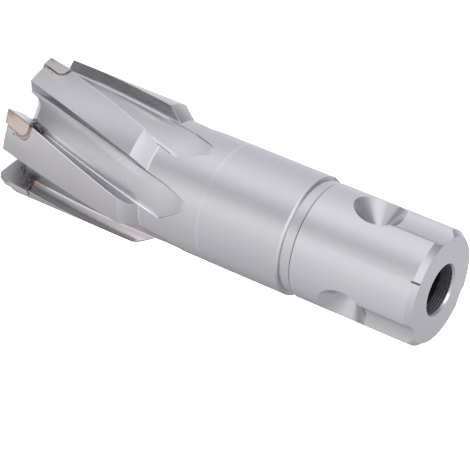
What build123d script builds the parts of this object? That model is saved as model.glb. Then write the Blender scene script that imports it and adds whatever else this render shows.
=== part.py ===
"""Annular cutter with six brazed carbide teeth, standing on its teeth with the shank upward."""
import os
from math import asin, atan, cos, degrees, radians, sin, sqrt, tan

from build123d import *

os.makedirs("parts", exist_ok=True)

# Overall sizes, in millimetres and degrees. Heights rise from the teeth towards the shank's end.
overall_length = 71.5
tooth_count = 6
cutting_radius = 11.47
kerf_inner_radius = 7.5

# Shank, the plain cylinder that the drill's arbor holds
shank_length = 20.1
shank_radius = 9.0
end_chamfer_length = 0.95
end_chamfer_depth = 0.76

# Relief turned between the shank and the neck
relief_length = 1.8
relief_depth = 0.1
neck_edge_radius = 0.4
neck_edge_facets = 3

# Neck, ground in two lengths that leave a fine ring between them
neck_radius = 9.4
neck_ring_height = 35.5
neck_ring_step = 0.02

# Head, which carries the helical lands, each ending in a ramp down to the neck
side_overhang = 0.32
land_end_height = 22.3
land_ramp_length = 2.8
steel_front_height = 1.05

# Inside: the chamber round the slug, and above it the bore of the pilot pin
core_clearance = 0.3
core_wall = 1.4
chamber_height = 40.0
chamber_end_chamfer = 0.8
pilot_bore_radius = 3.9
bore_rim_width = 0.2
bore_rim_depth = 0.35

# Flutes between the lands
helix_angle = 17.0
land_trailing_helix = 13.3
land_start_angle = 23.1
flute_start_angle = -3.9
trailing_wall_lean = 2.0
flute_corner_width = 0.35
flute_corner_height = 0.25
leading_wall_hollow = 0.24
flute_run_out_height = 28.6
flute_end_height = 33.4
flute_end_angle = 42.0
flute_end_width = 6.5
flute_end_rise = 0.195
flute_sections = 4

# Carbide tips
tip_start_angle = 25.04
axial_rake = 12.0
radial_rake = 7.0
tip_back_angle = 16.5
tip_front_width = 1.95
tip_length = 4.8
tip_corner_radius = 1.0
tip_ridge_radius = 10.6
outer_slope = 22.0
inner_slope = 17.0
front_clearance = 8.0
side_clearance = 3.0

# Silver solder between each tip and its seat
solder_side_gap = 0.16
solder_rear_gap = 0.3
solder_recess = 0.06

# Gullets, the openings through the wall in front of the tips
gullet_root_height = 4.2
gullet_root_slope = 43.0
gullet_root_tilt = 5.0
gullet_width = 3.4
gullet_side_angle = 75.0
gullet_back_radius = 1.4
gullet_face_radius = 0.5

# Cone recesses for the locking balls of a quick-change arbor, each with a channel to the shank's end
recess_count = 3
recess_angle = 90.0
recess_height = 60.3
recess_radius = 4.3
recess_depth = 3.4
channel_radius = 4.75
channel_depth = 1.15

# Index mark scribed across the end chamfer, midway between two recesses
mark_angle = 270.0
mark_width = 0.25
mark_depth = 0.15
mark_overrun = 0.18

# Sizes that follow from those above
shank_foot = overall_length - shank_length
neck_top = shank_foot - relief_length
relief_radius = shank_radius - relief_depth
lower_neck_radius = neck_radius - neck_ring_step
land_top = land_end_height + land_ramp_length
land_radius = cutting_radius - side_overhang
chamber_radius = kerf_inner_radius + core_clearance
flute_floor_radius = chamber_radius + core_wall
end_face_radius = shank_radius - end_chamfer_depth
margin = 1.5
tool_radius = cutting_radius + margin
wall_cut = tool_radius - kerf_inner_radius


def polar(radius, angle, height=0.0):
    """A point at a radius and an angle round the cutter's axis."""
    return Vector(radius * cos(radians(angle)), radius * sin(radians(angle)), height)


def wound(start, helix, height):
    """Angle reached at a height by an edge that winds round the lands from its start angle."""
    return start + degrees(tan(radians(helix)) * height / land_radius)


def rake_angle_at(radius):
    """Where the first tip's cutting edge stands at a radius: its face leads a little inward."""
    return tip_start_angle + radial_rake - degrees(asin(cutting_radius * sin(radians(radial_rake)) / radius))


def clearance_centre(radius, lean):
    """Centre of a circle that meets the cutting edge at a radius and falls away behind it."""
    return polar(radius, rake_angle_at(radius)) - polar(radius, rake_angle_at(radius) + lean)


# Tooth plane: upright, on the outer corner of the first cutting edge, x backwards and y up
tooth_normal = polar(1.0, tip_start_angle + radial_rake)
tooth_back = polar(1.0, tip_start_angle + radial_rake + 90.0)
tooth_corner = polar(cutting_radius, tip_start_angle)
tooth_plane = Plane(origin=tooth_corner, x_dir=tooth_back, z_dir=tooth_normal)
rake_step = tan(radians(axial_rake))


def flute_section(height, start, end, floor):
    """One level section of a flute: leaning wall, small corner flat, floor and hollow leading wall."""
    foot = start + trailing_wall_lean
    lean = trailing_wall_lean / (land_radius - flute_floor_radius)
    rim = start - lean * (tool_radius - land_radius)
    corner_radius = floor + flute_corner_height
    corner = foot - lean * flute_corner_height
    flat = degrees(flute_corner_width / floor)
    under = floor - flute_corner_height
    middle = (floor + land_radius) / 2
    with BuildSketch(Plane.XY.offset(height)) as section:
        with BuildLine():
            ThreePointArc(
                polar(floor, end),
                polar(middle, end + degrees(leading_wall_hollow / middle)),
                polar(land_radius, end),
            )
            Polyline(
                polar(land_radius, end),
                polar(tool_radius, end),
                polar(tool_radius, (rim + end) / 2),
                polar(tool_radius, rim),
                polar(corner_radius, corner),
                polar(under, corner + 2 * flat),
                polar(under, end),
                polar(floor, end),
            )
        make_face()
    return section.sketch


def tip_side_view(side_gap, rear_gap):
    """A tip seen square to its outer face, let out by the gaps behind it and above it."""
    top = tip_length + rear_gap
    width = tip_front_width + side_gap / cos(radians(tip_back_angle))
    back_step = tan(radians(tip_back_angle))
    rear_corner = (width + top * back_step, top)
    with BuildSketch(tooth_plane) as view:
        with BuildLine():
            Polyline(
                (-margin * rake_step, -margin),
                (top * rake_step, top),
                rear_corner,
                (width - margin * back_step, -margin),
                close=True,
            )
        make_face()
        fillet(view.vertices().sort_by_distance(rear_corner)[0], tip_corner_radius + side_gap)
    return view.sketch


# Cutting shape of one flute: a helical channel, and its run-out that leans back across the neck
with BuildPart() as flute:
    for step in range(flute_sections + 1):
        height = -margin + (flute_run_out_height + margin) * step / flute_sections
        start = wound(flute_start_angle, land_trailing_helix, height)
        end = wound(land_start_angle, helix_angle, height)
        add(flute_section(height, start, end, flute_floor_radius))
    loft()
    add(flute_section(height, start, end, flute_floor_radius))
    end_start = flute_end_angle - trailing_wall_lean
    end_floor = flute_floor_radius + flute_end_rise
    add(flute_section(flute_end_height, end_start, flute_end_angle + flute_end_width, end_floor))
    loft(ruled=True)
    with BuildSketch(Plane.XZ):
        with BuildLine():
            Polyline(
                (0, -2 * margin),
                (flute_floor_radius, -2 * margin),
                (flute_floor_radius, flute_run_out_height),
                (end_floor, flute_end_height),
                (0, flute_end_height),
                close=True,
            )
        make_face()
    revolve(axis=Axis.Z, mode=Mode.SUBTRACT)

# Cutting shape of one gullet, whose root rises outward, and also away from the rake face
root_slope = tan(radians(gullet_root_slope))
root_height = gullet_root_height + root_slope * (cutting_radius - flute_floor_radius)
root_left_height = root_height + tan(radians(gullet_root_tilt)) * gullet_width
root_left = (root_height * rake_step - gullet_width, root_left_height)
root_right = (root_height * rake_step, root_height)
below = root_height + tool_radius

with BuildPart() as gullet:
    with BuildSketch(tooth_plane) as gullet_view:
        with BuildLine():
            Polyline(
                (root_left[0] - below / tan(radians(gullet_side_angle)), root_left_height - below),
                root_left,
                root_right,
                ((root_height - below) * rake_step, root_height - below),
                close=True,
            )
        make_face()
        fillet(gullet_view.vertices().sort_by_distance(root_left)[0], gullet_back_radius)
        fillet(gullet_view.vertices().sort_by_distance(root_right)[0], gullet_face_radius)
    inward = -tooth_normal - root_slope * (Vector(0, 0, 1) + rake_step * tooth_back)
    extrude(amount=wall_cut * inward.length, dir=inward)

# Cutting shape of one seat, which holds a tip and its solder
with BuildPart() as seat:
    add(tip_side_view(solder_side_gap, solder_rear_gap))
    extrude(amount=wall_cut, dir=-tooth_normal)

# Body, one piece of steel: turned, then milled
chamfer_slope = degrees(atan(end_chamfer_depth / end_chamfer_length))
mark_normal = polar(cos(radians(chamfer_slope)), mark_angle, sin(radians(chamfer_slope)))
mark_middle = polar(shank_radius - end_chamfer_depth / 2, mark_angle, overall_length - end_chamfer_length / 2)
mark_length = sqrt(end_chamfer_length**2 + end_chamfer_depth**2) + 2 * mark_overrun
neck_edge = []
for corner in range(neck_edge_facets + 1):
    turn = radians(90.0 * corner / neck_edge_facets)
    inset = neck_edge_radius * (1 - sin(turn))
    drop = neck_edge_radius * (1 - cos(turn))
    neck_edge.append((neck_radius - inset, neck_top - drop))

with BuildPart() as cutter_body:
    with BuildSketch(Plane.XZ) as turned:
        with BuildLine():
            Polyline(
                (pilot_bore_radius + bore_rim_width, overall_length),
                (end_face_radius, overall_length),
                (shank_radius, overall_length - end_chamfer_length),
                (shank_radius, shank_foot),
                (relief_radius, shank_foot - relief_depth),
                (relief_radius, neck_top),
                *neck_edge,
                (neck_radius, neck_ring_height),
                (lower_neck_radius, neck_ring_height - neck_ring_step),
                (lower_neck_radius, land_top),
                (land_radius, land_end_height),
                (land_radius, steel_front_height),
                (chamber_radius, steel_front_height),
                (chamber_radius, chamber_height - chamber_end_chamfer),
                (chamber_radius - chamber_end_chamfer, chamber_height),
                (pilot_bore_radius, chamber_height),
                (pilot_bore_radius, overall_length - bore_rim_depth),
                close=True,
            )
        make_face()
    revolve(axis=Axis.Z)
    for cutting_shape in (flute, gullet, seat):
        with PolarLocations(0, tooth_count):
            add(cutting_shape.part, mode=Mode.SUBTRACT)
    with PolarLocations(0, recess_count, start_angle=recess_angle):
        with Locations(Location((shank_radius - recess_depth, 0, recess_height), (0, 90, 0))):
            Cone(
                recess_radius - recess_depth,
                recess_radius + margin,
                recess_depth + margin,
                align=(Align.CENTER, Align.CENTER, Align.MIN),
                mode=Mode.SUBTRACT,
            )
    with BuildSketch(Plane.XY.offset(recess_height)):
        channel_centre = shank_radius - channel_depth + channel_radius
        with PolarLocations(channel_centre, recess_count, start_angle=recess_angle):
            Circle(channel_radius)
    extrude(amount=overall_length - recess_height + margin, mode=Mode.SUBTRACT)
    with BuildSketch(Plane(origin=mark_middle, x_dir=polar(1.0, mark_angle + 90.0), z_dir=mark_normal)):
        Rectangle(mark_width, mark_length)
    extrude(amount=-mark_depth, mode=Mode.SUBTRACT)

cutter_body.part.label = "cutter_body"
export_step(cutter_body.part, "parts/cutter_body.step")

# Carbide tip: ground to a ridge, with clearance behind each of its cutting edges
ridge = tip_ridge_radius - cutting_radius
inner_reach = -wall_cut
behind = tooth_back + Vector(0, 0, tan(radians(front_clearance)))

with BuildPart() as tip:
    add(tip_side_view(0, 0))
    extrude(amount=wall_cut, dir=-tooth_normal)
    with BuildSketch(Plane(origin=tooth_corner, x_dir=tooth_normal, z_dir=-tooth_back)):
        with BuildLine():
            Polyline(
                (ridge, 0),
                (margin, (margin - ridge) * tan(radians(outer_slope))),
                (margin, tip_length + margin),
                (inner_reach, tip_length + margin),
                (inner_reach, (ridge - inner_reach) * tan(radians(inner_slope))),
                close=True,
            )
        make_face()
    extrude(amount=wall_cut, dir=behind, both=True, mode=Mode.INTERSECT)
    with BuildSketch(Plane.XY.offset(-margin)):
        with Locations(clearance_centre(cutting_radius, side_clearance)):
            Circle(cutting_radius)
        with Locations(clearance_centre(kerf_inner_radius, -side_clearance)):
            Circle(kerf_inner_radius, mode=Mode.SUBTRACT)
    extrude(amount=tip_length + 2 * margin, mode=Mode.INTERSECT)

# Solder: the thin layer left in the seat behind the tip and above it, just short of the steel's faces
with BuildPart() as solder:
    add(tip_side_view(solder_side_gap, solder_rear_gap))
    extrude(amount=wall_cut, dir=-tooth_normal)
    add(tip_side_view(0, 0))
    extrude(amount=wall_cut, dir=-tooth_normal, mode=Mode.SUBTRACT)
    with BuildSketch(Plane.XY.offset(steel_front_height + solder_recess)):
        Circle(land_radius - solder_recess)
        Circle(chamber_radius + solder_recess, mode=Mode.SUBTRACT)
    extrude(amount=tip_length + margin, mode=Mode.INTERSECT)

for tooth in range(tooth_count):
    turned_to_tooth = Location((0, 0, 0), (0, 0, 360.0 * tooth / tooth_count))
    with BuildPart() as carbide_tip:
        with Locations(turned_to_tooth):
            add(tip.part)
    carbide_tip.part.label = f"carbide_tip_{tooth + 1}"
    export_step(carbide_tip.part, f"parts/carbide_tip_{tooth + 1}.step")
    with BuildPart() as solder_seam:
        with Locations(turned_to_tooth):
            add(solder.part)
    solder_seam.part.label = f"solder_seam_{tooth + 1}"
    export_step(solder_seam.part, f"parts/solder_seam_{tooth + 1}.step")
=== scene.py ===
# %% [markdown]
# # An annular cutter in a light tent
#
# This lesson dresses a hollow milling cutter: one steel body with a plain shank at the top and six helical
# lands at the bottom, six brazed carbide tips, and the thin solder seams that hold them. The shapes come
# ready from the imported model, in metres, standing on the teeth. What is made here is the finish of each
# surface, the burnt flux and the solder that the torch left behind, the light tent, the pale floor and the
# camera.

from math import asin, cos, degrees, pi, radians, sin, tan
from random import Random

import bpy
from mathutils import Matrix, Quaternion, Vector


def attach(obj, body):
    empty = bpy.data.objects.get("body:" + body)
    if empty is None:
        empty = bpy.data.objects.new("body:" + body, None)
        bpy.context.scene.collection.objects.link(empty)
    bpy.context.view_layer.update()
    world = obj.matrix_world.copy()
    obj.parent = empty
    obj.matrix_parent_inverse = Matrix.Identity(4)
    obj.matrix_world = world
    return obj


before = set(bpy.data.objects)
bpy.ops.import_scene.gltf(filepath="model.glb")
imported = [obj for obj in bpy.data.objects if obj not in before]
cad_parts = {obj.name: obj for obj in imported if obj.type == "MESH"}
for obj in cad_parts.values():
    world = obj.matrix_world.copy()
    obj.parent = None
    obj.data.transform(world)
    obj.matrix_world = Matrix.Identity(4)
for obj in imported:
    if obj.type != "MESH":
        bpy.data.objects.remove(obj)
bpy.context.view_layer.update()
bpy.ops.object.select_all(action="DESELECT")
print("pieces from the packed model:", ", ".join(sorted(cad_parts)))

# %% [markdown]
# ## Camera
#
# The photograph was taken with a long lens from a little above the shank, and the cutter lies across the
# picture. A camera can be aimed by hand, but its place was worked out instead, by measuring circles and
# lengths whose real sizes are known, so it is given as a place, a line of sight, and a turn of the camera
# about that line. A long lens keeps both ends of the cutter nearly the same size.

# %% Camera
PHOTO_SIDE = 470
LENS_IN_PIXELS = 2663.79
camera_place = Vector((-0.01992, -0.35768, 0.20769))
sight_line = Vector((0.06071, 0.90168, -0.42812))
camera_turn = radians(112.80)

bpy.ops.object.camera_add(location=camera_place)
camera = bpy.context.object
camera.name = "photo_camera"
camera.rotation_mode = "QUATERNION"
camera.rotation_quaternion = sight_line.to_track_quat("-Z", "Y") @ Quaternion((0, 0, 1), camera_turn)
camera.data.lens = LENS_IN_PIXELS / PHOTO_SIDE * camera.data.sensor_width
bpy.context.scene.camera = camera
print("lens in millimetres:", round(camera.data.lens, 1))

# %% [markdown]
# ## Small helpers for node trees
#
# Each finish of the cutter is a tree of nodes. Wiring each node by hand takes many lines, so a few helpers
# put a node in and link its sockets in one call. A socket can be given a number or the output of another
# node. Every output knows the tree that it belongs to, so only the first node of a tree has to be told it.


# %% Helpers: nodes
def put(socket, value):
    """Links a socket to a node's output, or sets its number."""
    if isinstance(value, bpy.types.NodeSocket):
        socket.id_data.links.new(value, socket)
    else:
        socket.default_value = value


def fill(made, **inputs):
    """Fills a node's sockets by name, where an underscore stands for a space."""
    for name, value in inputs.items():
        put(made.inputs[name.replace("_", " ")], value)


def node(tree, kind, settings=(), **inputs):
    """Adds a node, sets its settings, and fills its sockets."""
    made = tree.nodes.new("ShaderNode" + kind)
    for name, value in dict(settings).items():
        setattr(made, name, value)
    fill(made, **inputs)
    return made


# %% Helpers: sums
def tree_of(*values):
    """The tree of the first output among some values."""
    return [value.id_data for value in values if isinstance(value, bpy.types.NodeSocket)][0]


def sums(operation, *values):
    """One step of arithmetic on numbers or outputs."""
    made = node(tree_of(*values), "Math", {"operation": operation})
    for socket, value in zip(made.inputs, values):
        put(socket, value)
    return made.outputs[0]


def times(first, *others):
    """The product of several masks."""
    for other in others:
        first = sums("MULTIPLY", first, other)
    return first


def either(first, *others):
    """The strongest of several masks."""
    for other in others:
        first = sums("MAXIMUM", first, other)
    return first


def minus(first, second):
    """The first number less the second."""
    return sums("SUBTRACT", first, second)


def far(across, along):
    """How far a point is that lies so much across and so much along."""
    squares = sums("ADD", times(across, across), times(along, along))
    return sums("SQRT", squares)


# %% [markdown]
# ## Masks, shades and noise
#
# A mask is a number that is 1 where a finish lies and 0 elsewhere. It could be painted on the surface as a
# picture, but a sum of a few places is sharper, and it follows the cutter's shape exactly. The same helpers
# make a colour lighter, tint it, or break it up with noise. A colour ramp can't hold a number above 1, so a
# curve keeps its numbers as shares of the brightest one.


# %% Helpers: masks
def rising(value, start, end):
    """A mask that rises smoothly from 0 at start to 1 at end, or falls where end is the smaller."""
    made = node(tree_of(value), "MapRange", {"interpolation_type": "SMOOTHSTEP"}, Value=value, From_Min=start,
                From_Max=end)
    return made.outputs["Result"]


def within(value, low, high, soft):
    """A mask that is 1 between two limits, with soft ends."""
    return times(rising(value, low - soft, low), rising(value, high + soft, high))


def blend(mask, first, second):
    """A number or colour that goes from the first to the second where the mask is 1."""
    coloured = False
    for value in (first, second):
        coloured = coloured or isinstance(value, tuple) or getattr(value, "type", "") in ("RGBA", "VECTOR")
    kind = "RGBA" if coloured else "VALUE"
    made = node(tree_of(mask), "Mix", {"data_type": "RGBA" if coloured else "FLOAT"})
    put(made.inputs["Factor"], mask)
    ends = [socket for socket in made.inputs if socket.type == kind and socket.name in ("A", "B")]
    for socket, value in zip(ends, (first, second)):
        put(socket, (*value, 1.0) if isinstance(value, tuple) else value)
    return [socket for socket in made.outputs if socket.type == kind][0]


# %% Helpers: shades and tints
def scaled_by(vector, factor):
    """A place or colour with its three numbers multiplied by one factor."""
    made = node(tree_of(vector), "VectorMath", {"operation": "SCALE"}, Scale=factor)
    put(made.inputs[0], vector)
    return made.outputs[0]


def stretched(vector, factors):
    """A place or colour with each of its three numbers multiplied by its own factor."""
    made = node(tree_of(vector), "VectorMath", {"operation": "MULTIPLY"})
    put(made.inputs[0], vector)
    put(made.inputs[1], factors)
    return made.outputs[0]


def shaded(colour, mask, factor):
    """A colour made brighter or darker by a factor where the mask is 1."""
    return scaled_by(colour, blend(mask, 1.0, factor))


def tinted(colour, mask, tint):
    """A colour multiplied by a tint where the mask is 1."""
    return blend(mask, colour, stretched(colour, tint))


# %% Helpers: noise and curves
BRIGHTEST = 2.0


def triple(x, y, z):
    """Three numbers put together as a place for noise, or as a colour."""
    return node(tree_of(x, y, z), "CombineXYZ", X=x, Y=y, Z=z).outputs[0]


def grain(where, stretch, detail=2.0, contrast=(0.3, 0.7)):
    """Noise from 0 to 1, with a scale along each axis in lumps per unit."""
    noise = node(tree_of(where), "TexNoise", Vector=stretched(where, stretch), Scale=1.0, Detail=detail)
    return rising(noise.outputs[0], *contrast)


def curve(value, stops):
    """A number given at some values, and joined smoothly. None may be larger than the brightest."""
    first, last = stops[0][0], stops[-1][0]
    share = node(tree_of(value), "MapRange", Value=value, From_Min=first, From_Max=last)
    ramp = node(tree_of(value), "ValToRGB", Fac=share.outputs["Result"])
    ramp.color_ramp.interpolation = "B_SPLINE"
    elements = ramp.color_ramp.elements
    while len(elements) < len(stops):
        elements.new(0.5)
    for element, (given, number) in zip(elements, stops):
        grey = number / BRIGHTEST
        element.position = (given - first) / (last - first)
        element.color = (grey, grey, grey, 1)
    return times(ramp.outputs["Color"], BRIGHTEST)


# %% [markdown]
# ## Places on the cutter
#
# Each finish belongs to one region of the body: the shank, the flute floors, the walls, the recesses. They
# could be separate materials, but the body is one piece with one material, so every region is told apart by
# where a point lies: its height, its distance from the axis, its angle round the axis, and which way the
# surface faces. Object coordinates are in metres, so they are first brought to millimetres. The angle is
# also measured from the nearest land's leading edge, which winds up the cutter, so that one description
# serves all six teeth.

# %% Sizes of the lands and tips
MILLIMETRE = 0.001
TEETH = 6
LAND_RADIUS = 11.15
LEADING_EDGE_START = 23.1
HELIX_ANGLE = 17.0
leading_edge_turn = degrees(tan(radians(HELIX_ANGLE)) / LAND_RADIUS)
TIP_WIDTH = 1.95
TIP_LENGTH = 4.8
TIP_CORNER = 1.0
TIP_NORMAL = 32.04
TIP_SIDE = 1.398
AXIAL_RAKE = 12.0
TIP_BACK_LEAN = 16.5
TIP_RISE = tan(radians(AXIAL_RAKE))
TIP_BACK_SLOPE = tan(radians(TIP_BACK_LEAN))
TIP_BACK_COSINE = cos(radians(TIP_BACK_LEAN))
print("a leading edge turns", round(leading_edge_turn, 2), "degrees for each millimetre of height")


# %% Where a point lies on the cutter
class Places:
    """Outputs that say where a shaded point lies, in millimetres and degrees."""

    def __init__(self, tree):
        coordinates = node(tree, "TexCoord")
        self.point = scaled_by(coordinates.outputs["Object"], 1 / MILLIMETRE)
        self.across, self.along, self.height = node(tree, "SeparateXYZ", Vector=self.point).outputs
        face = node(tree, "SeparateXYZ", Vector=coordinates.outputs["Normal"])
        face_x, face_y, self.face_z = face.outputs
        self.radius = far(self.across, self.along)
        self.angle = sums("DEGREES", sums("ARCTAN2", self.along, self.across))
        out = sums("ADD", times(face_x, self.across), times(face_y, self.along))
        self.outward = sums("DIVIDE", out, self.radius)
        turned = minus(times(face_y, self.across), times(face_x, self.along))
        self.around = sums("DIVIDE", turned, self.radius)
        self.measure_from_tooth()

    def measure_from_tooth(self):
        """Adds how far a point is behind the nearest leading edge, and past the nearest tip's faces."""
        half = 180 / TEETH
        edge = sums("MULTIPLY_ADD", self.height, leading_edge_turn, LEADING_EDGE_START)
        self.behind_edge = sums("WRAP", minus(self.angle, edge), half, -half)
        from_normal = sums("WRAP", minus(self.angle, TIP_NORMAL), half, -half)
        sideways = sums("SINE", sums("RADIANS", from_normal))
        back = sums("MULTIPLY_ADD", self.radius, sideways, TIP_SIDE)
        self.past_rake = sums("MULTIPLY_ADD", self.height, -TIP_RISE, back)
        leaned = sums("MULTIPLY_ADD", self.height, -TIP_BACK_SLOPE, back)
        self.past_tip_back = times(minus(leaned, TIP_WIDTH - TIP_CORNER), TIP_BACK_COSINE)
        self.past_tip_top = minus(self.height, TIP_LENGTH - TIP_CORNER)


# %% [markdown]
# ## Ground steel
#
# The shank, neck and lands are ground round the axis and then lightly blasted, which leaves a satin surface
# with very fine lines round it. The lines could be a picture wrapped round the body. Here they are noise
# that is drawn out round the axis and squeezed along it, because noise needs no unwrapping and has no seam.


# %% Steel: satin colour and grinding lines
def new_finish(name):
    """Makes a material, and gives it with its tree and its main shader."""
    material = bpy.data.materials.new(name)
    material.use_nodes = True
    return material, material.node_tree, material.node_tree.nodes["Principled BSDF"]


def tell(finish, tree):
    """Prints how large a finish has grown."""
    print(f"{finish}: {len(tree.nodes)} nodes so far")


SATIN = (0.613, 0.606, 0.640)
SATIN_DULLER = (0.606, 0.597, 0.638)
GRINDING_LINE = (0.587, 0.58, 0.615)
GRINDING_STRENGTH = 0.35
GRINDING_DEPTH = 0.0001
GROUND_ROUGHNESS = (0.265, 0.29)

steel, metal, steel_shader = new_finish("satin_tool_steel")
at = Places(metal)
mottle = grain(at.point, (0.22, 0.22, 0.12), contrast=(0.35, 0.65))
colour = blend(mottle, SATIN, SATIN_DULLER)
grinding = grain(at.point, (0.22, 0.22, 3.0), detail=3.0)
colour = blend(times(grinding, GRINDING_STRENGTH), colour, GRINDING_LINE)
rough = blend(grain(at.point, (0.7, 0.7, 0.5)), *GROUND_ROUGHNESS)
relief = times(grinding, GRINDING_DEPTH)
tell("satin steel", metal)

# %% [markdown]
# ## Sides of the cutter
#
# No two of the three teeth in the photograph look the same. The upper side is painted brighter, the
# middle tooth is a little warm from the torch, and the low one is stained. Each tooth could have its own
# material, but the body is one piece, so masks by the angle round the axis mark the sides. Most of what
# they carry is painted light and shade, lighter or darker on each side as the light falls. The camera
# stands at minus 93 degrees. The low side begins at minus 38, and the upper one where the angle's size is
# above 158.

# %% Steel: masks for the sides
angle_size = sums("ABSOLUTE", at.angle)
# These masks place the painted light and shade on each side.
upper_side = rising(angle_size, 158.0, 168.0)
upper_wall = rising(angle_size, 138.0, 146.0)
bright_side = rising(at.angle, -108.0, -98.0)
low_side = rising(at.angle, -38.0, -33.0)
low_wall = rising(at.angle, -40.0, -34.0)
middle_side = times(bright_side, minus(1.0, low_side))
tell("steel with its sides marked", metal)

# %% [markdown]
# ## Lands, shank and neck
#
# The lands are a little darker than the shank, and the shank a little lighter than the neck. The neck's
# ring, its rounded upper edge, the chamfer and the flat end are turned. Most factors here are painted light
# and shade: the lands are darker near the tips and lighter on the upper, the low and the bright side, the
# ring gets a painted highlight, and the rounded edge, the chamfer and the flat end are lighter on one side
# and darker on another. Every one could be given its own colour. A factor on the one satin colour is
# simpler, and keeps the same grain on all.

# %% Steel: lands
LAND_SHADE = (0.87, 0.81)
UPPER_LAND_LIGHT = 1.26
LOW_LAND_LIGHT = 1.2
FAR_UP_LIGHT = 1.07
on_land = times(rising(at.radius, LAND_RADIUS - 0.05, LAND_RADIUS - 0.02),
                rising(at.outward, 0.8, 0.9))
# Painted shade on the lands, darker near the tips, and painted light on the upper, the low and the bright
# side.
land_shade = blend(rising(at.height, 10.0, 4.0), *LAND_SHADE)
upper_land = blend(upper_side, 1.0, UPPER_LAND_LIGHT)
low_land = blend(low_side, 1.0, LOW_LAND_LIGHT)
far_up = times(bright_side, rising(at.height, 12.0, 20.0))
land_shade = times(land_shade, upper_land, low_land, blend(far_up, 1.0, FAR_UP_LIGHT))
colour = shaded(colour, on_land, land_shade)
tell("steel with lands", metal)

# %% Steel: shank, neck ring and rounded edge
SHANK_FOOT = 51.4
NECK_RING = 35.5
NECK_TOP = 49.7
SHANK_LIGHT = 1.045
BELOW_SHANK_SHADE = 0.99
RING_LIGHT = 1.13
on_shank = rising(at.height, SHANK_FOOT - 0.2, SHANK_FOOT)
shank_light = blend(rising(at.radius, 8.95, 8.98), 1.0, SHANK_LIGHT)
colour = scaled_by(colour, blend(on_shank, BELOW_SHANK_SHADE, shank_light))
# Painted highlight on the neck's ring.
on_ring = within(at.height, NECK_RING - 0.2, NECK_RING + 0.1, 0.08)
colour = shaded(colour, on_ring, RING_LIGHT)
# Painted light and shade on the rounded edge, set by the angle round the axis.
round_edge = [(-150, 1.1), (-115, 1.25), (-85, 1.2), (-60, 1.15), (-45, 0.95), (-20, 0.6), (0, 0.5)]
on_neck_edge = times(within(at.height, NECK_TOP - 0.45, NECK_TOP, 0.05),
                     rising(at.radius, 9.0, 9.1))
colour = shaded(colour, on_neck_edge, curve(at.angle, round_edge))
tell("steel with shank and neck", metal)

# %% Steel: chamfer and flat end of the shank
CHAMFER_FOOT = 69.9
CHAMFER_LIGHT = (1.01, 1.07)
END_SHADE = (0.95, 0.80)
on_chamfer = times(within(at.face_z, 0.4, 0.8, 0.08),
                   rising(at.height, CHAMFER_FOOT - 0.3, CHAMFER_FOOT))
# Painted light on the chamfer, lighter on one side.
chamfer_light = blend(rising(at.angle, -115.0, -75.0), *CHAMFER_LIGHT)
colour = shaded(colour, on_chamfer, chamfer_light)
on_end = rising(at.face_z, 0.9, 0.97)
# Painted shade across the flat end, darker towards one side.
end_shade = blend(rising(at.across, -3.0, 8.0), *END_SHADE)
colour = shaded(colour, on_end, end_shade)
tell("steel with the shank's end", metal)

# %% Steel: ramps at the upper ends of the lands
RAMP_FOOT = 25.1
# Painted shade on the ramps: darker at the foot, lighter at the rim.
across_ramp = [(9.4, 0.90), (10.0, 0.92), (10.5, 0.98), (11.15, 1.12)]
on_ramp = times(within(at.face_z, 0.45, 0.62, 0.1), within(at.height, 22.2, 25.2, 0.3),
                rising(at.radius, 9.35, 9.45))
colour = shaded(colour, on_ramp, curve(at.radius, across_ramp))
tell("steel with ramps", metal)

# %% [markdown]
# ## Flute floors
#
# A flute is the channel that carries the chips away. Its floor keeps the radius of the body's core. It was
# milled and then only blasted, so it is grainier and greyer than the ground steel, and a faint weave of
# mill marks crosses it. A second material could be given to its faces, but its soft end on the neck has no
# edge to stop at. A limit on the distance from the axis finds the floor everywhere.

# %% Steel: where the floors are
FLUTE_TOP = 33.4
CORE_RADIUS = 9.2
NECK_RADIUS = 9.4
below_neck = rising(at.height, FLUTE_TOP + 0.02, FLUTE_TOP - 0.02)
in_tongue = rising(at.height, 27.0, 28.5)
over_floor = minus(at.radius, blend(in_tongue, CORE_RADIUS + 0.11, NECK_RADIUS - 0.06))
on_floor = times(rising(over_floor, 0.02, -0.01), below_neck,
                 rising(at.outward, 0.8, 0.9))
from_edge = sums("ABSOLUTE", at.behind_edge)
tell("steel with floors found", metal)

# %% Steel: blasted floor with a weave of mill marks
FLOOR_BLUISH = (0.518, 0.506, 0.56)
FLOOR_PLAIN = (0.538, 0.538, 0.545)
BLASTED_LIGHT = (0.585, 0.58, 0.605)
TONGUE_GREY = (0.575, 0.567, 0.612)
WEAVE_LIGHT = (0.61, 0.605, 0.625)
blasted = grain(at.point, (3.5, 3.5, 3.5), detail=4.0, contrast=(0.25, 0.75))
drifts = grain(at.point, (0.2, 0.2, 0.12), contrast=(0.38, 0.62))
floor_colour = blend(drifts, FLOOR_BLUISH, FLOOR_PLAIN)
floor_colour = blend(times(blasted, 0.4), floor_colour, BLASTED_LIGHT)
floor_colour = blend(rising(at.height, 22.0, 28.0), floor_colour, TONGUE_GREY)
round_floor = times(at.angle, radians(CORE_RADIUS))
weave_way = sums("MULTIPLY_ADD", round_floor, 0.35, at.height)
weave_place = triple(weave_way, times(round_floor, 0.25), 0.0)
weave = grain(weave_place, (3.2, 3.2, 1.0), detail=3.0, contrast=(0.2, 0.8))
floor_colour = blend(times(weave, 0.7), floor_colour, WEAVE_LIGHT)
tell("steel with blasted floors", metal)

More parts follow.
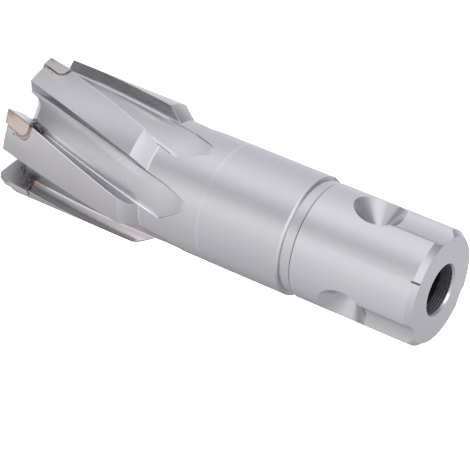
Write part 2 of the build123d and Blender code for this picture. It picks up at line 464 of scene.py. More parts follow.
# %% Steel: light and dark parts of the floor
# Painted shade and light on the floors: darker low down and on the low side, lighter beside the walls.
up_floor = [(2, 0.56), (6, 0.68), (8.5, 0.88), (11, 0.94), (14, 0.91), (26, 0.95), (29.5, 1.05), (32, 0.85)]
under_upper_wall = [(14, 1.0), (19, 1.1), (22.5, 1.5), (25.0, 1.0), (27, 0.84), (30, 0.8)]
under_middle_wall = [(0, 1.8), (1, 1.8), (2, 1.75), (3, 1.75), (4, 1.6), (5, 1.25), (6, 1.04), (7.5, 1.0)]
FAR_WALL_LIGHT = 1.22
NEAR_WALL_LIGHT = 1.35
LOW_FLOOR = (-45.0, -8.0, 6.0)
LOW_FLOOR_SHADE = 0.88
floor_colour = scaled_by(floor_colour, curve(at.height, up_floor))
by_far_wall = times(rising(from_edge, 21.0, 26.0), rising(at.height, 26.0, 22.0))
far_wall_shade = blend(by_far_wall, 1.0, FAR_WALL_LIGHT)
by_upper_wall = times(upper_wall, rising(at.height, 24.0, 20.0))
far_wall_shade = blend(by_upper_wall, far_wall_shade, curve(from_edge, under_upper_wall))
floor_colour = scaled_by(floor_colour, far_wall_shade)
near_wall_shade = blend(rising(from_edge, 5.0, 1.0), 1.0, NEAR_WALL_LIGHT)
by_middle_wall = times(middle_side, rising(at.height, 24.5, 22.5))
near_wall_shade = blend(by_middle_wall, near_wall_shade, curve(from_edge, under_middle_wall))
floor_colour = shaded(floor_colour, within(at.height, 9.0, 27.0, 2.0), near_wall_shade)
floor_colour = shaded(floor_colour, within(at.angle, *LOW_FLOOR), LOW_FLOOR_SHADE)
tell("steel with shaded floors", metal)

# %% Steel: lay the floor finish on the body
FLOOR_ROUGHNESS = 0.32
BLAST_DEPTH = 0.001
colour = blend(on_floor, colour, floor_colour)
rough = blend(on_floor, rough, FLOOR_ROUGHNESS)
relief = blend(on_floor, relief, times(blasted, BLAST_DEPTH))
tell("steel with floors laid", metal)

# %% [markdown]
# ## Flute walls
#
# Each flute has a leading wall, under the cutting edge, and a trailing wall behind the land before it. The
# mill left streaks along the helix on both. The walls stand nearly edge on to the axis, so they are told
# from the floor by the way they face. In the photograph a wall grows darker from its foot to the land's
# edge, where it reflects the dark gap in the tent. The tent alone could do that, but its gap is too wide
# for so narrow a face, so curves up and along each wall paint that shade into the colour, and the upper
# side's trailing walls are painted lighter.

# %% Steel: where the walls are, and their streaks
STREAK_GREY = (0.54, 0.53, 0.56)
STREAK_STRENGTH = 0.4
STREAK_DEPTH = 0.0003
off_core = rising(at.radius, CORE_RADIUS - 0.35, CORE_RADIUS - 0.25)
not_level = rising(sums("ABSOLUTE", at.face_z), 0.5, 0.42)
on_wall = times(rising(at.outward, 0.75, 0.55), off_core, below_neck, not_level)
leading = times(on_wall, rising(at.around, -0.4, -0.6))
trailing = times(on_wall, rising(at.around, 0.4, 0.6))
milled = sums("MULTIPLY_ADD", at.height, -0.45, at.radius)
streaks = grain(triple(milled, at.height, at.behind_edge), (3.5, 0.3, 0.1), detail=3.0)
colour = blend(times(on_wall, streaks, STREAK_STRENGTH), colour, STREAK_GREY)
relief = blend(on_wall, relief, times(streaks, STREAK_DEPTH))
tell("steel with walls found", metal)

# %% Steel: leading walls
# Painted shade on the leading walls, darker towards the land's edge and changing with height.
up_wall = [(9.2, 1.0), (9.28, 0.9), (9.4, 0.84), (9.7, 0.78), (10.1, 0.65), (10.6, 0.47), (11.0, 0.33),
           (11.15, 0.25)]
up_low_wall = [(9.2, 1.0), (9.3, 0.95), (9.45, 0.68), (9.8, 0.66), (10.05, 0.70), (10.3, 0.94), (10.8, 0.92),
               (11.0, 0.6), (11.15, 0.4)]
along_wall = [(0, 1.0), (8, 0.78), (13, 0.68), (19, 0.75), (22, 1.05), (26, 1.1)]
along_low_wall = [(5, 0.85), (9, 0.9), (14, 1.0), (19, 1.15), (24, 1.4)]
MIDDLE_TINT = (1.02, 0.995, 1.0)
warm_tooth = times(either(on_land, leading), middle_side)
colour = tinted(colour, warm_tooth, MIDDLE_TINT)
wall_shade = times(curve(at.radius, up_wall), curve(at.height, along_wall))
low_wall_shade = times(curve(at.radius, up_low_wall), curve(at.height, along_low_wall))
colour = shaded(colour, leading, blend(low_wall, wall_shade, low_wall_shade))
tell("steel with leading walls", metal)

# %% Steel: trailing walls, and the lighter one on the upper side
# Painted shade on the trailing walls, and painted light on the upper side's trailing walls.
along_trailing = [(0, 0.95), (3, 0.8), (6, 0.62), (9, 0.43), (14, 0.42), (20, 0.52), (30, 0.6)]
along_upper = [(0, 1.0), (4, 1.0), (8, 1.75), (12, 2.0), (16, 1.85), (19, 1.75), (22, 2.0), (30, 2.0)]
up_upper = [(9.2, 1.15), (9.8, 1.1), (10.5, 1.0), (10.9, 0.7), (11.15, 0.4)]
UPPER_FOOT_LIGHT = 3.2
colour = shaded(colour, trailing, curve(at.height, along_trailing))
upper_end = rising(at.height, 17.0, 21.0)
upper_shade = times(curve(at.height, along_upper),
                    blend(upper_end, 1.0, curve(at.radius, up_upper)))
upper_foot = times(rising(at.radius, 9.72, 9.62), rising(at.height, 6.0, 9.0))
upper_shade = blend(upper_foot, upper_shade, UPPER_FOOT_LIGHT)
colour = shaded(colour, times(trailing, upper_wall), upper_shade)
tell("steel with trailing walls", metal)

# %% Steel: warm tint up the low tooth's walls
LOW_TINT = (1.035, 0.975, 0.965)
warm_side = times(on_wall, low_wall, rising(at.height, 10.0, 18.0))
colour = tinted(colour, warm_side, LOW_TINT)
tell("steel with a warm low tooth", metal)

# %% [markdown]
# ## Painted highlights along edges
#
# Where two surfaces meet, the narrow rounding catches the light and shines brighter than the faces beside
# it. Here that shine is a painted highlight, a near-white line along the foot of each leading wall, along the
# foot of each ramp, and along the leading edge of each land. A node can find edges by their sharpness, but it
# finds all of them alike. Here each line is placed by itself, so it can fade where the real one does.

# %% Steel: bright line along the foot of each leading wall
along_low_foot = [(6, 0.9), (9, 0.7), (13, 0.5), (17, 0.35), (22, 0.1)]
# The foot line is a painted highlight, stronger on the bright side.
wall_foot = times(leading, rising(at.radius, CORE_RADIUS + 0.2, CORE_RADIUS + 0.08))
beside_foot = times(within(at.behind_edge, -0.55, 0.6, 0.25), on_floor)
foot_strength = times(rising(at.height, 6.6, 7.6), bright_side,
                      blend(rising(at.height, 12.0, 19.0), 0.74, 0.95),
                      blend(rising(at.height, 25.5, 28.5), 1.0, 0.3),
                      blend(low_side, 1.0, curve(at.height, along_low_foot)))
foot_line = times(either(wall_foot, beside_foot), foot_strength)
tell("steel with the foot line", metal)

# %% Steel: bright lines along ramps and lands
PAINTED_HIGHLIGHT = (0.98, 0.97, 1.0)
ramp_line = times(within(at.height, RAMP_FOOT - 0.1, RAMP_FOOT + 0.06, 0.05),
                  within(at.radius, 9.33, 9.5, 0.04), 0.4)
edge_line = times(within(at.behind_edge, -0.2, 0.65, 0.3), rising(at.radius, 9.45, 9.55),
                  rising(at.outward, 0.6, 0.75), rising(at.height, 5.0, 8.0),
                  blend(bright_side, 0.35, 0.75))
ramp_rim = times(on_ramp, rising(at.behind_edge, 24.2, 24.9), upper_wall, 0.7)
painted_highlight = either(foot_line, ramp_line, edge_line, ramp_rim)
# All four lines are painted highlights, laid in a near-white colour.
colour = blend(painted_highlight, colour, PAINTED_HIGHLIGHT)
tell("steel with burnished edges", metal)

# %% [markdown]
# ## Dark run-outs
#
# Above the ramps a flute is only two tenths of a millimetre deep, and runs out into the neck, so each flute
# ends in a tongue with a dark outline. The step itself is modelled, but it is too low to look dark by its
# shadow, so a painted shadow darkens it where the radius lies between the two. A painted shade lies along
# the near step, and the end of each step is painted lighter.

# %% Steel: run-out steps
STEP_PAINTED_SHADOW = (0.11, 0.105, 0.115)
STEP_PAINTED_SHADE = (0.2, 0.195, 0.21)
END_STEP_LIGHT = 1.9
along_step = [(22, 0.8), (25, 0.5), (28, 0.25), (31, 0.25), (33.5, 0.2)]
on_step = within(at.radius, CORE_RADIUS + 0.03, CORE_RADIUS + 0.17, 0.02)
# Painted shadow along the far step, strongest low down and strong on the upper tongue.
far_step = times(on_step, rising(from_edge, 14.0, 18.0), rising(at.height, 22.0, 24.0),
                 rising(at.around, 0.15, 0.35))
upper_tongue = times(rising(at.angle, -132.0, -138.0), rising(at.height, 29.5, 31.0))
dirt = blend(upper_tongue, curve(at.height, along_step), 0.85)
colour = blend(times(far_step, dirt), colour, STEP_PAINTED_SHADOW)
# Painted shade along the near step, away from the bright side.
near_step = times(rising(at.radius, CORE_RADIUS + 0.18, CORE_RADIUS + 0.12),
                  within(at.behind_edge, -0.8, 0.4, 0.25), within(at.height, 24.6, 27.0, 0.6),
                  minus(1.0, bright_side))
colour = blend(times(near_step, 0.7), colour, STEP_PAINTED_SHADE)
# Painted light on the end of each step.
end_step = times(on_step, rising(at.height, 28.8, 29.6), rising(at.around, -0.25, -0.45))
colour = shaded(colour, end_step, END_STEP_LIGHT)
tell("steel with run-outs", metal)

# %% [markdown]
# ## Turned recesses
#
# The three cone recesses take the balls of a quick-change holder. They were bored with a form tool, which
# leaves fine rings round each cone. The rings could be modelled, but they are a few thousandths of a
# millimetre high, so a wave in the distance from the recess's axis draws them. A recess is folded onto the
# others by wrapping the angle, and a point is on the cone where its distance from that axis fits its depth.

# %% Steel: where the cones are
RECESS_HEIGHT = 60.3
RECESS_RADIUS = 4.3
SHANK_RADIUS = 9.0
RECESS_ANGLE = 90.0
folded = sums("RADIANS", sums("WRAP", minus(at.angle, RECESS_ANGLE), 60.0, -60.0))
reach = times(at.radius, sums("COSINE", folded))
aside = times(at.radius, sums("SINE", folded))
up_recess = minus(at.height, RECESS_HEIGHT)
off_axis = far(aside, up_recess)
off_cone = minus(minus(off_axis, reach), RECESS_RADIUS - SHANK_RADIUS)
on_cone = times(rising(sums("ABSOLUTE", off_cone), 0.1, 0.04),
                rising(at.height, 50.0, 52.0))
tell("steel with cones found", metal)

# %% Steel: light and rings in the cones
RING_PITCH = 0.21
RING_GREY = (0.48, 0.475, 0.50)
RING_STRENGTH = 0.13
RING_DEPTH = 0.0013
LOW_CONE_SHADE = 0.86
UPPER_CONE_LIGHT = 1.045
round_recess = sums("DEGREES", sums("ARCTAN2", up_recess, aside))
# Painted shade on part of the low cone, and painted light on the upper cones.
low_cone = times(on_cone, rising(at.angle, -90.0, -70.0),
                 within(round_recess, -64.0, -42.0, 16.0))
colour = shaded(colour, low_cone, LOW_CONE_SHADE)
upper_cone = times(on_cone, rising(at.angle, -90.0, -110.0))
colour = shaded(colour, upper_cone, UPPER_CONE_LIGHT)
ring_wave = sums("SINE", times(off_axis, 2 * pi / RING_PITCH))
ring_strength = times(on_cone, sums("MULTIPLY_ADD", ring_wave, RING_STRENGTH, RING_STRENGTH))
colour = blend(ring_strength, colour, RING_GREY)
relief = blend(on_cone, relief, times(ring_wave, RING_DEPTH))
tell("steel with turned cones", metal)

# %% [markdown]
# ## Bore
#
# The bore guides the pilot pin. It is dark inside, and near its mouth it shows a few bright turned rings and
# a thin bright rim. Little light finds its way into so deep a hole, and what does would be noisy, so the
# wall is given painted shade here, lighter on the side that faces the light. The rings are drawn by the
# height, and they and the rim get painted highlights.

# %% Steel: bore and its mouth
BORE_RADIUS = 3.9
TOP = 71.5
BORE_RING_PITCH = 0.42
BORE_RING_DEPTH = 0.004
BORE_DARK = (0.255, 0.25, 0.28)
BORE_LIT = (0.39, 0.38, 0.46)
BORE_RING = (0.8, 0.79, 0.82)
RIM_GREY = (0.54, 0.535, 0.57)
RIM_BRIGHT = (0.99, 0.985, 1.0)
in_bore = times(rising(at.radius, BORE_RADIUS + 0.25, BORE_RADIUS + 0.15),
                rising(at.face_z, 0.35, 0.2))
near_mouth = rising(at.height, TOP - 2.4, TOP - 2.0)
bore_wave = sums("SINE", times(at.height, 2 * pi / BORE_RING_PITCH))
bore_rings = times(in_bore, near_mouth, rising(bore_wave, 0.35, 0.9))
# Painted shade on the bore's wall, lighter where it faces the light.
facing_light = within(at.angle, 25.0, 62.0, 22.0)
colour = blend(in_bore, colour, blend(facing_light, BORE_DARK, BORE_LIT))
# Painted highlights on the turned rings near the mouth.
colour = blend(times(bore_rings, blend(facing_light, 0.45, 1.0)), colour, BORE_RING)
on_rim = times(rising(at.radius, BORE_RADIUS + 0.4, BORE_RADIUS + 0.3),
               within(at.face_z, 0.4, 0.6, 0.1))
# The rim is painted grey, with a painted highlight on one side.
colour = blend(on_rim, colour, RIM_GREY)
rim_light = times(on_rim, within(at.angle, 70.0, 82.0, 10.0))
colour = blend(rim_light, colour, RIM_BRIGHT)
relief = blend(bore_rings, relief, -BORE_RING_DEPTH)
tell("steel with the bore", metal)

# %% [markdown]
# ## Dark corners
#
# The scribed index mark, the corner under the shank's foot, and the groove over the neck are darkened with
# painted shade, and over the neck it lies on one side only. A render can darken corners by itself, but it
# would darken every corner of the cutter, and here only these three are darkened.

# %% Steel: index mark and the corners under the shank
CORNER_PAINTED_SHADE = (0.12, 0.115, 0.125)
MARK_BLACK = (0.06, 0.055, 0.06)
MARK_WIDTH = 0.25
MARK_FOOT = 70.5
# Painted shadow over the neck, on one side only.
over_neck = times(within(at.height, NECK_TOP - 0.1, NECK_TOP + 0.2, 0.06),
                  rising(at.radius, 8.97, 8.94), rising(at.angle, -50.0, -15.0))
colour = blend(times(over_neck, 0.3), colour, CORNER_PAINTED_SHADE)
# Painted shade in the index mark.
in_mark = times(rising(sums("ABSOLUTE", at.across), MARK_WIDTH / 2 + 0.06, MARK_WIDTH / 2),
                rising(at.along, 0.0, -1.0), rising(at.height, MARK_FOOT - 0.4, MARK_FOOT),
                rising(at.radius, 8.05, 8.15))
colour = blend(times(in_mark, 0.85), colour, MARK_BLACK)
# Painted shade in the corner under the shank's foot.
under_shank = times(within(at.height, SHANK_FOOT - 0.2, SHANK_FOOT - 0.01, 0.03),
                    rising(at.radius, 8.85, 8.88))
colour = blend(times(under_shank, 0.6), colour, CORNER_PAINTED_SHADE)
tell("steel with dark corners", metal)

# %% [markdown]
# ## Heat and flux stains
#
# Brazing leaves its traces round each tip: the flux burns black in the corner over the tip, turns golden
# brown a little farther up the wall, and spatters dark specks on the land beside the seam. They could be
# painted by hand. Masks measured from the tip put them in the same place on all six teeth, and noise breaks
# their edges and makes the teeth differ.

# %% Steel: soot and gold over the tips
GOLDEN = (0.33, 0.24, 0.17)
SOOT = (0.13, 0.108, 0.115)
SMEAR = (0.54, 0.455, 0.405)
STAIN_ROUGHNESS = 0.45
LOW_TOOTH = (-36.0, -18.0, 6.0)
cloud = grain(at.point, (0.9, 0.9, 0.6), detail=3.0)
by_corner = within(at.behind_edge, -3.0, 3.0, 3.5)
low_tooth = within(at.angle, *LOW_TOOTH)
stained = times(rising(at.height, 9.0, 5.5), by_corner, rising(at.outward, 1.01, 0.55),
                cloud, blend(low_tooth, 1.0, rising(at.radius, 9.8, 9.4)))
colour = blend(times(stained, 0.75), colour, GOLDEN)
soot = times(within(at.height, 3.4, 6.4, 1.4), by_corner,
             rising(at.radius, LAND_RADIUS - 0.05, LAND_RADIUS - 0.6), cloud,
             blend(low_tooth, 1.0, 0.2))
colour = blend(times(soot, 0.7), colour, SOOT)
smear = times(low_tooth, within(at.height, 4.9, 6.9, 0.7),
              within(at.behind_edge, -3.0, 1.0, 1.5), rising(at.radius, 9.5, 9.25),
              blend(cloud, 0.4, 1.0))
colour = blend(times(smear, 0.85), colour, SMEAR)
rough = blend(either(stained, soot), rough, STAIN_ROUGHNESS)
tell("steel with soot", metal)

# %% Steel: solder that flowed past the middle tip's seam
HEAT_TINT = (0.62, 0.585, 0.565)
FLOW_BROWN = (0.40, 0.345, 0.32)
FLOW_RIM = (0.15, 0.12, 0.11)
MIDDLE_TIP = (-98.0, -75.0, 6.0)
by_seam = times(on_land, rising(at.height, 7.2, 4.6),
                within(at.behind_edge, 0.0, 16.0, 5.0))
colour = blend(times(by_seam, 0.35), colour, HEAT_TINT)
from_tip = far(either(at.past_tip_back, 0.0), either(at.past_tip_top, 0.0))
outside = minus(from_tip, TIP_CORNER)
ragged = sums("MULTIPLY_ADD", grain(at.point, (2.2, 2.2, 2.2)), 0.12, outside)
flowed = times(on_land, within(at.angle, *MIDDLE_TIP), rising(at.height, 2.0, 3.2))
flow_film = times(rising(ragged, 0.48, 0.4), flowed)
colour = blend(times(flow_film, 0.7), colour, FLOW_BROWN)
flow_rim = times(within(ragged, 0.42, 0.5, 0.07), flowed)
colour = blend(times(flow_rim, 0.75), colour, FLOW_RIM)
tell("steel with flowed solder", metal)

# %% Steel: specks beside the seams
SPECK = (0.12, 0.10, 0.09)
specks = grain(at.point, (3.2, 3.2, 3.2), contrast=(0.6, 0.68))
speck_band = times(within(outside, 0.3, 0.75, 0.25), on_land,
                   rising(at.height, 4.2, 3.6))
colour = blend(times(speck_band, specks), colour, SPECK)
tell("steel with specks", metal)

# %% [markdown]
# ## Soft edges
#
# No edge on the real cutter is perfectly sharp: blasting rounds it by a few hundredths of a millimetre, and
# that narrow rounding catches the light as a bright line. The edges could be cut round in the model, at the
# cost of many small faces. The shapes are sharp here, and a bevel node rounds what light sees of each edge.


# %% Steel: put it on the body
def soft_edges(rounding, height):
    """A normal that bends round each sharp edge and follows a fine relief."""
    rounded = node(tree_of(height), "Bevel", {"samples": BEVEL_SAMPLES}, Radius=rounding * MILLIMETRE)
    bump = node(tree_of(height), "Bump", Height=height, Distance=MILLIMETRE, Normal=rounded.outputs[0])
    return bump.outputs[0]


def dress(kind, material):
    """Puts a finish on every piece of one kind."""
    pieces = [piece for name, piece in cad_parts.items() if name.startswith(kind)]
    for piece in pieces:
        piece.material_slots[0].material = material
    print(material.name, "is on", len(pieces), "of the pieces")


BEVEL_SAMPLES = 6
EDGE_ROUNDING = 0.07
DULL_METAL = 0.85
dull_bore = blend(times(in_bore, near_mouth), 1.0, DULL_METAL)
fill(steel_shader, Base_Color=colour, Roughness=rough, Metallic=dull_bore,
     Normal=soft_edges(EDGE_ROUNDING, relief))
dress("cutter_body", steel)
tell("the finished steel", metal)

# %% [markdown]
# ## Carbide
#
# Sintered carbide is ground to shape. The rake faces are finely ground. The middle tip's rake face is
# painted nearly white as painted light, and the others dark as painted shade. The outer faces keep the
# pinkish tint that the heat of brazing gives, with grinding lines along the tip, and the low tip's are
# painted lighter. The two faces could be two materials, but one is enough, because the rake face alone
# looks round the axis.

# %% Carbide: outer faces
FLANK_COOL = (0.53, 0.50, 0.52)
FLANK_PINK = (0.55, 0.485, 0.47)
LOW_FLANK = (0.74, 0.72, 0.775)
MIDDLE_FLANK = (0.655, 0.56, 0.515)
FLANK_GOLD = (0.68, 0.54, 0.45)
FLANK_LINE = (0.66, 0.60, 0.58)
LOW_TIP = (-45.0, -15.0, 6.0)
carbide, cemented, carbide_shader = new_finish("ground_carbide")
on_tip = Places(cemented)
lines_place = triple(on_tip.behind_edge, on_tip.height, on_tip.radius)
lines = grain(lines_place, (1.6, 0.35, 2.0))
tint = grain(on_tip.point, (0.12, 0.12, 0.5), detail=1.0, contrast=(0.35, 0.65))
middle_tip = within(on_tip.angle, *MIDDLE_TIP)
flank = blend(tint, FLANK_COOL, FLANK_PINK)
# Painted light on the low tip's outer faces.
flank = blend(within(on_tip.angle, *LOW_TIP), flank, LOW_FLANK)
flank = blend(middle_tip, flank, MIDDLE_FLANK)
golden = times(middle_tip, within(on_tip.height, 1.7, 2.8, 0.9),
               rising(on_tip.behind_edge, 9.0, 4.0))
flank = blend(golden, flank, FLANK_GOLD)
flank = blend(times(lines, 0.3), flank, FLANK_LINE)
tell("carbide with outer faces", cemented)

# %% Carbide: worn ends and edges
CUTTING_END = (0.46, 0.42, 0.42)
LEADING_CORNER = (0.40, 0.36, 0.365)
WORN_EDGE = (0.30, 0.265, 0.25)
flank = blend(rising(on_tip.height, 1.2, 0.3), flank, CUTTING_END)
leading_corner = times(rising(on_tip.height, 2.3, 1.0),
                       rising(on_tip.behind_edge, 7.0, 3.0))
flank = blend(leading_corner, flank, LEADING_CORNER)
worn_edge = times(middle_tip, rising(on_tip.past_rake, 0.24, 0.08))
flank = blend(times(worn_edge, 0.8), flank, WORN_EDGE)
tell("carbide with worn edges", cemented)

# %% Carbide: rake faces
RAKE_DARK = (0.31, 0.30, 0.33)
RAKE_PALE = (0.78, 0.77, 0.815)
HONED = (0.30, 0.285, 0.28)
BURNT = (0.095, 0.08, 0.082)
rake = rising(on_tip.around, -0.6, -0.8)
# Painted light on the middle tip's rake face, painted shade on the others.
rake_shade = blend(middle_tip, RAKE_DARK, RAKE_PALE)
honed = times(middle_tip, rising(on_tip.radius, 10.85, 11.0))
rake_shade = blend(honed, rake_shade, HONED)
tip_colour = blend(rake, flank, rake_shade)
burnt = times(rake, rising(on_tip.height, 2.0, 4.4),
              grain(on_tip.point, (0.8, 0.8, 0.8), contrast=(0.35, 0.6)))
tip_colour = blend(times(burnt, 0.75), tip_colour, BURNT)
tell("carbide with rake faces", cemented)

# %% Carbide: put it on the tips
TIP_ROUNDING = 0.05
TIP_LINE_DEPTH = 0.0008
TIP_ROUGHNESS = (0.42, 0.30)
fill(carbide_shader, Base_Color=tip_colour, Roughness=blend(rake, *TIP_ROUGHNESS), Metallic=1.0,
     Normal=soft_edges(TIP_ROUNDING, times(lines, TIP_LINE_DEPTH)))
dress("carbide_tip", carbide)
tell("the finished carbide", cemented)

# %% [markdown]
# ## Silver solder
#
# The solder in the seams has darkened to brown, with lighter grains where it is bare. It could be one brown,
# but on the upper and the middle tooth the seam looks lighter in the photograph, so the angle sets how
# brown it is.

# %% Silver solder
SOLDER_DARK = (0.09, 0.07, 0.065)
SOLDER_BARE = (0.27, 0.235, 0.22)
UPPER_SEAM_GREY = (0.40, 0.345, 0.33)
MIDDLE_SEAM_BROWN = (0.44, 0.35, 0.31)
SOLDER_ROUGHNESS = (0.5, 0.34)
SOLDER_METAL = 0.8
UPPER_TIP = (-165.0, -118.0, 6.0)
solder, braze, solder_shader = new_finish("darkened_silver_solder")
in_seam = Places(braze)
bare = grain(in_seam.point, (2.4, 2.4, 2.4), detail=3.0, contrast=(0.42, 0.66))
seam_colour = blend(bare, SOLDER_DARK, SOLDER_BARE)
upper_seam = times(within(in_seam.angle, *UPPER_TIP), 0.6)
seam_colour = blend(upper_seam, seam_colour, UPPER_SEAM_GREY)
middle_seam = times(within(in_seam.angle, *MIDDLE_TIP),
                    rising(in_seam.behind_edge, 0.5, 2.5), 0.75)
seam_colour = blend(middle_seam, seam_colour, MIDDLE_SEAM_BROWN)
fill(solder_shader, Base_Color=seam_colour, Roughness=blend(bare, *SOLDER_ROUGHNESS),
     Metallic=SOLDER_METAL)
dress("solder_seam", solder)
tell("the finished solder", braze)

# %% [markdown]
# ## Burnt flux
#
# The flux left over the tips is a black glassy crust with brown in its hollows. It is dirt on the steel and
# no part of the tool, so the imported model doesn't have it, but the photograph shows it clearly. A stain
# alone would look flat, so the crust gets a shape of its own in the next step, and this finish.

# %% Burnt flux
CRUST_BLACK = (0.045, 0.038, 0.043)
CRUST_BROWN = (0.19, 0.155, 0.16)
CRUST_ROUGHNESS = (0.22, 0.45)
PIT_DEPTH = 0.01
flux, crusted, flux_shader = new_finish("burnt_flux")
on_crust = Places(crusted)
brown = grain(on_crust.point, (2.0, 2.0, 2.0), detail=3.0, contrast=(0.45, 0.7))
pitted = times(grain(on_crust.point, (9.0, 9.0, 9.0)), PIT_DEPTH)
pits = node(crusted, "Bump", Height=pitted, Distance=MILLIMETRE)
fill(flux_shader, Base_Color=blend(brown, CRUST_BLACK, CRUST_BROWN),
     Roughness=blend(brown, *CRUST_ROUGHNESS), Normal=pits.outputs[0])
tell("the finished flux", crusted)

# %% [markdown]
# ## Crust of burnt flux
#
# Where the torch boiled the flux it froze into small rings, the rims of burst bubbles, and a few drops
# between them. Each crust lies in the corner where the leading wall meets the core, over the tip. It could
# be sculpted by hand, but six crusts that are alike and never the same come more easily from rings and
# drops. They are laid on the wall as plain shapes, joined, and then remeshed and smoothed, so that they run
# into one another as melted glass does.


# %% Places for the crust
def over_wall(tooth, reach, height):
    """A place on a tooth's leading wall over the tip, and the way that wall faces."""
    turn = radians(LEADING_EDGE_START + leading_edge_turn * height + 360 * tooth / TEETH)
    way = Vector((sin(turn), -cos(turn), TIP_RISE)).normalized()
    return Vector((reach * cos(turn), reach * sin(turn), height)) * MILLIMETRE, way


def over_rake(tooth, reach, height):
    """A place on a tip's rake face, and the way that face looks."""
    normal = radians(TIP_NORMAL + 360 * tooth / TEETH)
    turn = normal + asin((TIP_RISE * height - TIP_SIDE) / reach)
    way = Vector((sin(normal), -cos(normal), TIP_RISE)).normalized()
    return Vector((reach * cos(turn), reach * sin(turn), height)) * MILLIMETRE, way


def over_core(tooth, before_wall, height):
    """A place on the flute floor, some degrees before a tooth's leading wall."""
    turn = radians(LEADING_EDGE_START + leading_edge_turn * height + 360 * tooth / TEETH - before_wall)
    way = Vector((cos(turn), sin(turn), 0.0))
    return way * CORE_RADIUS * MILLIMETRE + Vector((0, 0, height * MILLIMETRE)), way


# %% A ring and a drop of flux
RING_LIFT = 0.4
DROP_SHAPE = (1.3, 1.0, 0.6)


def lay_ring(place, way, wide, thick, stretch, spin):
    """One burst bubble: a ring that lies on a face, drawn out by a stretch."""
    flat = way.to_track_quat("Z", "X") @ Quaternion((0, 0, 1), spin)
    lifted = place + way * RING_LIFT * thick * MILLIMETRE
    bpy.ops.mesh.primitive_torus_add(major_radius=wide * MILLIMETRE, minor_radius=thick * MILLIMETRE,
                                     major_segments=20, minor_segments=8, location=lifted,
                                     rotation=flat.to_euler())
    bpy.context.object.scale = (stretch, 1.0, 1.0)
    return bpy.context.object


def lay_drop(place, way, size):
    """One drop that lies on a face, flattened against it."""
    bpy.ops.mesh.primitive_ico_sphere_add(subdivisions=2, radius=size * MILLIMETRE, location=place,
                                          rotation=way.to_track_quat("Z", "X").to_euler())
    bpy.context.object.scale = DROP_SHAPE
    return bpy.context.object


# %% The rings and drops over one tip
RINGS = 5
DROPS = 8
LOW_CORNER = 5


def lay_rings(tooth, chance):
    """The burst bubbles over one tip. In the low corner they run down the rake face."""
    laid = []
    for step in range(RINGS):
        if tooth == LOW_CORNER:
            reach = 8.4 + 0.5 * step + chance.uniform(-0.05, 0.05)
            height = min(2.75 + 0.6 * step, 4.75)
            place, way = over_rake(tooth, reach, height)
        elif step % 2 == 0:
            before_wall = 3.5 - 0.5 * step + chance.uniform(-0.4, 0.4)
            height = 4.2 + 0.3 * step
            place, way = over_core(tooth, before_wall, height)
        else:
            reach = 9.45 + chance.uniform(-0.1, 0.2)
            height = 5.0 + 0.3 * step
            place, way = over_wall(tooth, reach, height)
        wide = chance.uniform(0.24, 0.36)
        thick = chance.uniform(0.07, 0.1)
        stretch = chance.uniform(1.1, 1.6)
        spin = chance.uniform(0.0, pi)
        laid.append(lay_ring(place, way, wide, thick, stretch, spin))
    return laid


def lay_drops(tooth, chance):
    """The drops between the bubbles over one tip."""
    laid = []
    for step in range(DROPS):
        place, way = over_core(tooth, chance.uniform(0.2, 4.5), chance.uniform(4.3, 5.6))
        if tooth == LOW_CORNER:
            place, way = over_rake(tooth, chance.uniform(8.9, 11.0), chance.uniform(4.2, 4.8))
        elif step % 2 == 1:
            place, way = over_wall(tooth, chance.uniform(9.3, 10.0), chance.uniform(5.0, 5.8))
        size = chance.uniform(0.07, 0.15)
        laid.append(lay_drop(place, way, size))
    return laid


# %% Melt each crust together
MELT_GRAIN = 0.03
SMOOTHING_ROUNDS = 4
SEED = 3


def melt_together(name, shapes):
    """Joins shapes into one piece that runs together."""
    bpy.ops.object.select_all(action="DESELECT")
    for shape in shapes:
        shape.select_set(True)
    bpy.context.view_layer.objects.active = shapes[0]
    bpy.ops.object.join()
    melted = bpy.context.object
    melted.name = name
    bpy.ops.object.transform_apply(location=True, rotation=True, scale=True)
    remesh = melted.modifiers.new("melt", "REMESH")
    remesh.mode = "VOXEL"
    remesh.voxel_size = MELT_GRAIN * MILLIMETRE
    bpy.ops.object.modifier_apply(modifier=remesh.name)
    smooth = melted.modifiers.new("soften", "SMOOTH")
    smooth.iterations = SMOOTHING_ROUNDS
    bpy.ops.object.modifier_apply(modifier=smooth.name)
    bpy.ops.object.shade_smooth()
    return melted


for tooth in range(TEETH):
    chance = Random(tooth + SEED)
    laid = lay_rings(tooth, chance) + lay_drops(tooth, chance)
    crust = melt_together(f"burnt_flux_{tooth + 1}", laid)
    crust.data.materials.clear()
    crust.data.materials.append(flux)
    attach(crust, "root")
    print(crust.name, "has", len(crust.data.polygons), "faces")

# %% [markdown]
# ## Light tent
#
# Satin metal shows little of its own colour: what is seen is mostly its surroundings, blurred. In the
# photograph those are the white panels of a light tent, with darker gaps between them. Area lamps could
# stand for the panels, but a tent is round the whole object and far away from it, so it is painted on the
# world: three rows of panels, low, level and high, each with its own brightness round the object. Only
# reflections see the panels. The floor is lit by plain white light.

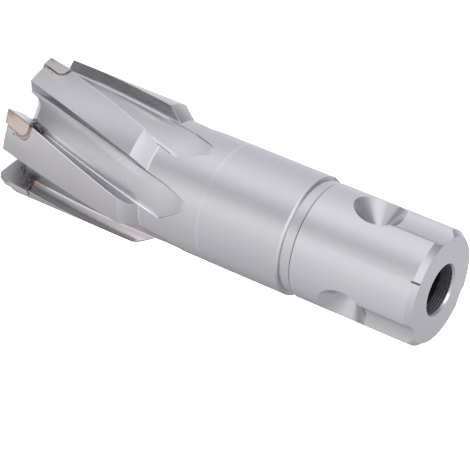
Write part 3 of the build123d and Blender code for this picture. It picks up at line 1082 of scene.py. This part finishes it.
# %% Light tent: three rows of panels
level_panels = [
    (0, 0.70), (20, 0.67), (42, 0.51), (60, 0.36), (76, 0.42), (95, 0.85), (120, 0.87), (150, 0.78),
    (174, 0.89), (195, 1.03), (212, 1.16), (230, 1.01), (244, 0.69), (256, 0.67), (268, 0.97), (284, 1.19),
    (300, 0.99), (320, 0.89), (345, 0.77), (360, 0.70)]
high_panels = [
    (0, 0.65), (29, 0.50), (60, 0.65), (86, 0.82), (110, 0.6), (132, 0.28), (165, 0.36), (190, 0.50),
    (205, 0.85), (218, 1.25), (235, 1.15), (254, 1.15), (280, 1.05), (315, 0.85), (343, 0.68), (360, 0.65)]
low_panels = [
    (0, 0.45), (22, 0.55), (60, 0.75), (90, 0.85), (120, 0.85), (160, 0.75), (197, 0.7), (220, 0.35),
    (240, 0.2), (274, 0.2), (284, 0.26), (292, 0.34), (302, 0.46), (320, 0.42), (360, 0.45)]
world = bpy.data.worlds.new("light_tent")
bpy.context.scene.world = world
world.use_nodes = True
sky = world.node_tree
looking = node(sky, "SeparateXYZ", Vector=node(sky, "TexCoord").outputs["Generated"])
east, north, rise = looking.outputs
bearing = sums("WRAP", sums("DEGREES", sums("ARCTAN2", north, east)), 360.0, 0.0)
tent = blend(rising(rise, -0.15, 0.25), curve(bearing, level_panels),
             curve(bearing, high_panels))
tent = blend(rising(rise, -0.6, -0.78), tent, curve(bearing, low_panels))
tell("the tent's panels", sky)

# %% Light tent: cool panels, and who sees them
PLAIN_WHITE = 1.5
cool_panels = [
    (0, 1.02), (50, 1.02), (85, 1.034), (225, 1.034), (258, 1.0), (325, 1.0), (345, 1.02), (360, 1.02)]
seen_in_metal = node(sky, "LightPath").outputs["Is Glossy Ray"]
blue = blend(seen_in_metal, 1.0, curve(bearing, cool_panels))
fill(sky.nodes["Background"], Color=triple(1.0, 1.0, blue),
     Strength=blend(seen_in_metal, PLAIN_WHITE, tent))
tell("the finished tent", sky)

# %% [markdown]
# ## Floor
#
# The photograph's ground is pure white, with no shadow left on it. The floor could be left out, but then
# the teeth would stand on nothing. A pale matt floor that shines a little itself, as a light table does,
# gives the same white. It stays out of the steel's reflections, which belong to the tent, and it can be
# seen through from below, so that the teeth can be looked at.

# %% Floor
FLOOR_SIDE = 4.0
PAPER_WHITE = (0.92, 0.92, 0.92, 1)
WHITE = (1, 1, 1, 1)
PAPER_ROUGHNESS = 0.9
PAPER_GLOW = 0.85
bpy.ops.mesh.primitive_plane_add(size=FLOOR_SIDE, location=(0, 0, 0))
floor = bpy.context.object
floor.name = "pale_floor"
paper, sheet, paper_shader = new_finish("pale_paper")
fill(paper_shader, Base_Color=PAPER_WHITE, Roughness=PAPER_ROUGHNESS, Emission_Color=WHITE,
     Emission_Strength=PAPER_GLOW)
seen_through = node(sheet, "MixShader", Fac=node(sheet, "NewGeometry").outputs["Backfacing"])
put(seen_through.inputs[1], paper_shader.outputs[0])
put(seen_through.inputs[2], node(sheet, "BsdfTransparent").outputs[0])
put(sheet.nodes["Material Output"].inputs["Surface"], seen_through.outputs[0])
floor.data.materials.append(paper)
floor.visible_glossy = False
bpy.context.scene.view_settings.view_transform = "Standard"
tell("the pale floor", sheet)
